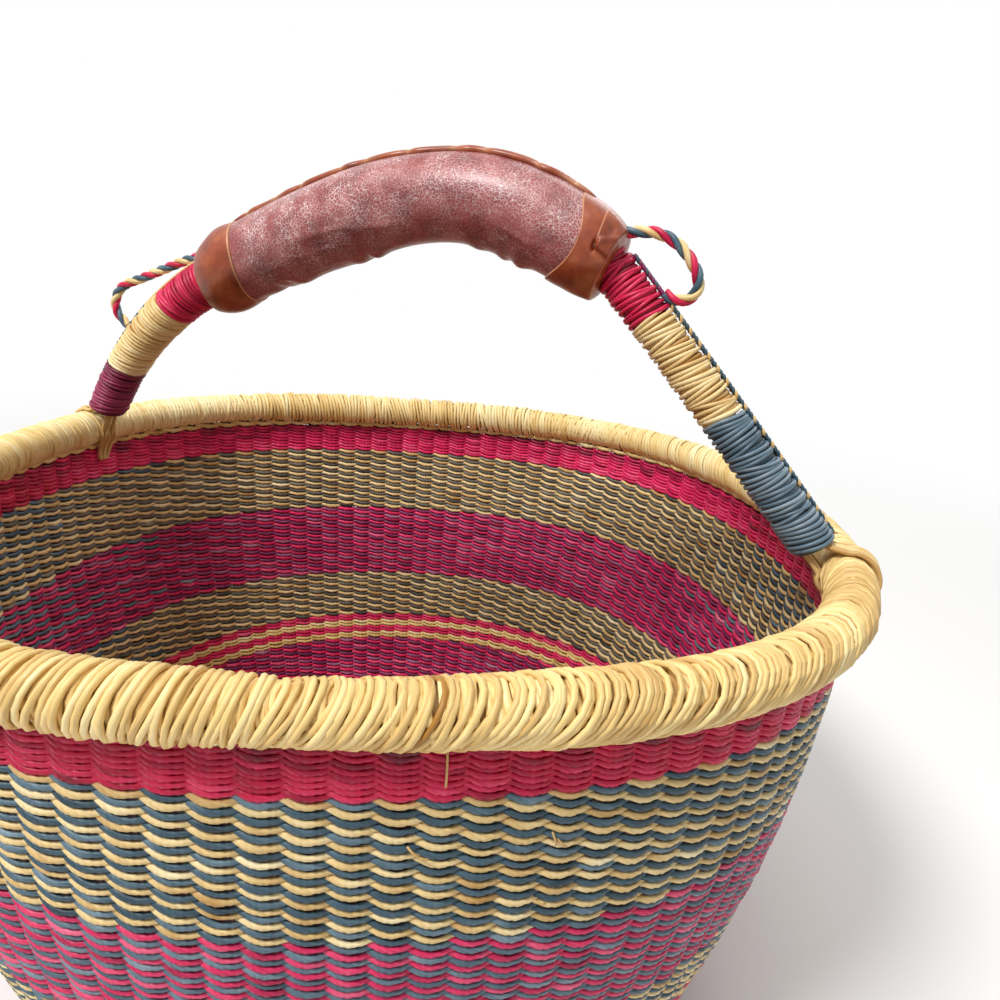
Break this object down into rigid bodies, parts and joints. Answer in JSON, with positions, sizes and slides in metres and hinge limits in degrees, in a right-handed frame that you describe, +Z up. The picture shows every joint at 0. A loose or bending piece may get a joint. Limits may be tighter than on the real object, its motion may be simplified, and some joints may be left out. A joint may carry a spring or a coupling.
{
  "type": "bolga basket",
  "caption": "Round market basket of twined dyed straw with a thick bound rim and an arched handle: leather grip, straw-wound legs and twisted cord loops.",
  "frame": {"origin": "middle of the flat underside", "axes": "+Z up along the basket's axis; the handle stands in the XZ plane, with the blue-grey wound leg at +X"},
  "size_m": [0.3482, 0.338, 0.3101],
  "materials": {
    "natural_straw": "natural dried grass straw, satin",
    "crimson_straw": "grass straw dyed crimson, satin",
    "wine_straw": "crimson and blue-grey dyed straw twined together, satin",
    "blue_grey_straw": "grass straw dyed blue-grey, satin",
    "straw_and_blue_grey": "natural and blue-grey straw twined together, satin",
    "glazed_maroon_leather": "maroon leather, glazed and crackled",
    "tan_leather": "tan-brown leather, smooth",
    "three_colour_cord": "twisted cord of blue-grey, crimson and natural strands"
  },
  "bodies": {
    "basket": {"base": "natural_straw", "wall_wine_low": "wine_straw", "wall_straw_line_low": "natural_straw", "wall_crimson_line_low": "crimson_straw", "wall_straw_line_high": "natural_straw", "wall_crimson_line_high": "crimson_straw", "wall_grey_low": "straw_and_blue_grey", "wall_wine_high": "wine_straw", "wall_grey_high": "straw_and_blue_grey", "wall_crimson_top": "crimson_straw", "wall_straw_top": "natural_straw", "rim_binding": "natural_straw"},
    "handle": {"handle_core": "natural_straw", "leg_crimson_left": "crimson_straw", "leg_crimson_right": "crimson_straw", "leg_straw_left": "natural_straw", "leg_straw_right": "natural_straw", "leg_wine_left": "wine_straw", "leg_blue_right": "blue_grey_straw", "grip_sleeve": "glazed_maroon_leather", "grip_collar_left": "tan_leather", "grip_collar_right": "tan_leather", "grip_seam": "tan_leather", "leg_spine_left": "blue_grey_straw", "leg_spine_right": "blue_grey_straw", "cord_loop_left": "three_colour_cord", "cord_loop_right": "three_colour_cord", "root_inner_left": "natural_straw", "root_inner_right": "natural_straw", "root_outer_left": "natural_straw", "root_outer_right": "natural_straw"}
  },
  "joints": [
    {"name": "handle_lean", "type": "hinge", "parent": "basket", "child": "handle", "pos_m": [0, 0, 0.186], "axis": [1, 0, 0], "range_deg": [-20, 20]}
  ]
}
